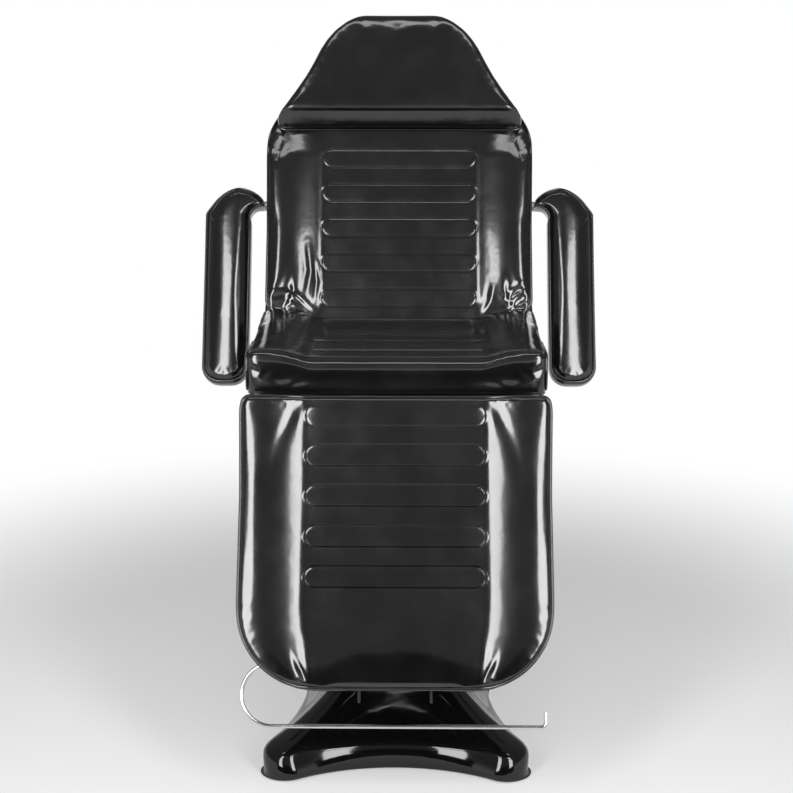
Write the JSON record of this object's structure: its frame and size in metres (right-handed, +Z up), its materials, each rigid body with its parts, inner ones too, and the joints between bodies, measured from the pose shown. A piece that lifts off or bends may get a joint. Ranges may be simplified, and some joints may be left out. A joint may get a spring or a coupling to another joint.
{
  "type": "tattoo chair",
  "caption": "Hydraulic tattoo chair with padded seat, reclining back, headrest, swinging armrests and a lifting leg rest with paper-roll holder.",
  "frame": {"origin": "on the floor, on the axis of the lift column", "axes": "+X across the chair, its front faces -Y, +Z up"},
  "size_m": [0.884, 1.1085, 1.4832],
  "materials": {
    "vinyl": "semi-gloss grained synthetic leather over foam",
    "gloss_cover": "gloss moulded",
    "frame_paint": "satin powder coat",
    "bright_steel": "polished",
    "plain_steel": "zinc plated",
    "board": "plywood",
    "foot_rubber": "matte",
    "grip": "matte"
  },
  "bodies": {
    "base": {"base_cover": "gloss_cover", "base_plate": "frame_paint", "base_arms": "frame_paint", "base_feet": "foot_rubber", "pump_cylinder": "frame_paint", "pump_gland": "frame_paint", "pump_bolts": "plain_steel", "pedal_lugs": "frame_paint", "pedal_pivot_pin": "plain_steel"},
    "pedal": {"pump_pedal": "frame_paint", "pedal_pad": "foot_rubber"},
    "ram": {"pump_ram": "bright_steel", "swivel_washer": "plain_steel"},
    "seat": {"swivel_spindle": "plain_steel", "mounting_plate": "frame_paint", "mounting_bolts": "plain_steel", "seat_rails": "frame_paint", "seat_crossbars": "frame_paint", "leg_hinge_ears": "frame_paint", "back_hinge_brackets": "frame_paint", "spring_brackets": "frame_paint", "hinge_pins": "plain_steel", "seat_board": "board", "seat_cushion": "vinyl", "seat_board_screws": "plain_steel"},
    "leg": {"leg_rails": "frame_paint", "leg_crossbars": "frame_paint", "leg_ears": "frame_paint", "leg_spring_bracket": "frame_paint", "leg_board": "board", "leg_cushion": "vinyl", "leg_board_screws": "plain_steel", "roll_holder": "bright_steel", "roll_holder_plates": "frame_paint", "roll_holder_lock_screws": "plain_steel"},
    "back": {"back_rails": "frame_paint", "back_crossbars": "frame_paint", "back_ears": "frame_paint", "back_spring_bracket": "frame_paint", "back_board": "board", "back_cushion": "vinyl", "headrest_cushion": "vinyl", "back_board_screws": "plain_steel", "armrest_spindles": "plain_steel", "armrest_washers": "plain_steel"},
    "armrest_left": {"armrest_pad_left": "vinyl", "armrest_bar_left": "frame_paint"},
    "armrest_right": {"armrest_pad_right": "vinyl", "armrest_bar_right": "frame_paint"},
    "leg_spring_lower": {"leg_spring_rod": "bright_steel", "leg_spring_head": "plain_steel"},
    "leg_spring_upper": {"leg_spring_cylinder": "frame_paint"},
    "leg_lever": {"leg_release_lever": "plain_steel", "leg_lever_grip": "grip"},
    "back_spring_lower": {"back_spring_rod": "bright_steel", "back_spring_head": "plain_steel"},
    "back_spring_upper": {"back_spring_cylinder": "frame_paint"},
    "back_lever": {"back_release_lever": "plain_steel", "back_lever_grip": "grip"}
  },
  "joints": [
    {"name": "lift", "type": "slide", "parent": "base", "child": "ram", "axis": [0, 0, 1], "range_m": [-0.14, 0]},
    {"name": "swivel", "type": "hinge", "parent": "ram", "child": "seat", "pos_m": [0, 0, 0.733], "axis": [0, 0, 1], "continuous": true},
    {"name": "leg_raise", "type": "hinge", "parent": "seat", "child": "leg", "pos_m": [0, -0.231, 0.76], "axis": [-1, 0, 0], "range_deg": [0, 68.2]},
    {"name": "recline", "type": "hinge", "parent": "seat", "child": "back", "pos_m": [0, 0.2537, 0.802], "axis": [-1, 0, 0], "range_deg": [-6.9, 65.1]},
    {"name": "armrest_left_swing", "type": "hinge", "parent": "back", "child": "armrest_left", "pos_m": [-0.355, 0.42135, 1.05272], "axis": [-1, 0, 0], "range_deg": [0, 100]},
    {"name": "armrest_right_swing", "type": "hinge", "parent": "back", "child": "armrest_right", "pos_m": [0.355, 0.42135, 1.05272], "axis": [-1, 0, 0], "range_deg": [0, 100]},
    {"name": "pedal_press", "type": "hinge", "parent": "base", "child": "pedal", "pos_m": [0, 0.15, 0.062], "axis": [-1, 0, 0], "range_deg": [0, 16], "stiffness_Nm_per_rad": 12, "springref_deg": -17.19},
    {"name": "leg_spring_turn", "type": "hinge", "parent": "seat", "child": "leg_spring_lower", "pos_m": [-0.14, 0.075, 0.692], "axis": [-1, 0, 0], "range_deg": [-0.2, 1.3]},
    {"name": "leg_spring_stroke", "type": "slide", "parent": "leg_spring_lower", "child": "leg_spring_upper", "axis": [0, -0.998, 0.0628], "range_m": [0, 0.0556]},
    {"name": "back_spring_turn", "type": "hinge", "parent": "seat", "child": "back_spring_lower", "pos_m": [0.14, 0.075, 0.692], "axis": [-1, 0, 0], "range_deg": [-0.8, 6.2]},
    {"name": "back_spring_stroke", "type": "slide", "parent": "back_spring_lower", "child": "back_spring_upper", "axis": [0, 0.9559, 0.2938], "range_m": [-0.0727, 0.0078]},
    {"name": "leg_release", "type": "hinge", "parent": "leg_spring_lower", "child": "leg_lever", "pos_m": [-0.158, 0.04356, 0.69398], "axis": [0, 0.998, -0.0628], "range_deg": [0, 10], "stiffness_Nm_per_rad": 0.6, "springref_deg": -11.46},
    {"name": "back_release", "type": "hinge", "parent": "back_spring_lower", "child": "back_lever", "pos_m": [0.158, 0.10511, 0.70125], "axis": [0, -0.9559, -0.2938], "range_deg": [0, 10], "stiffness_Nm_per_rad": 0.6, "springref_deg": -11.46}
  ],
  "couplings": [
    {"joint": "leg_spring_turn", "follows": "leg_raise", "ratio": 0.017525},
    {"joint": "leg_spring_stroke", "follows": "leg_raise", "m_per_rad": 0.046606},
    {"joint": "back_spring_turn", "follows": "recline", "ratio": 0.0923},
    {"joint": "back_spring_stroke", "follows": "recline", "m_per_rad": -0.063841}
  ]
}
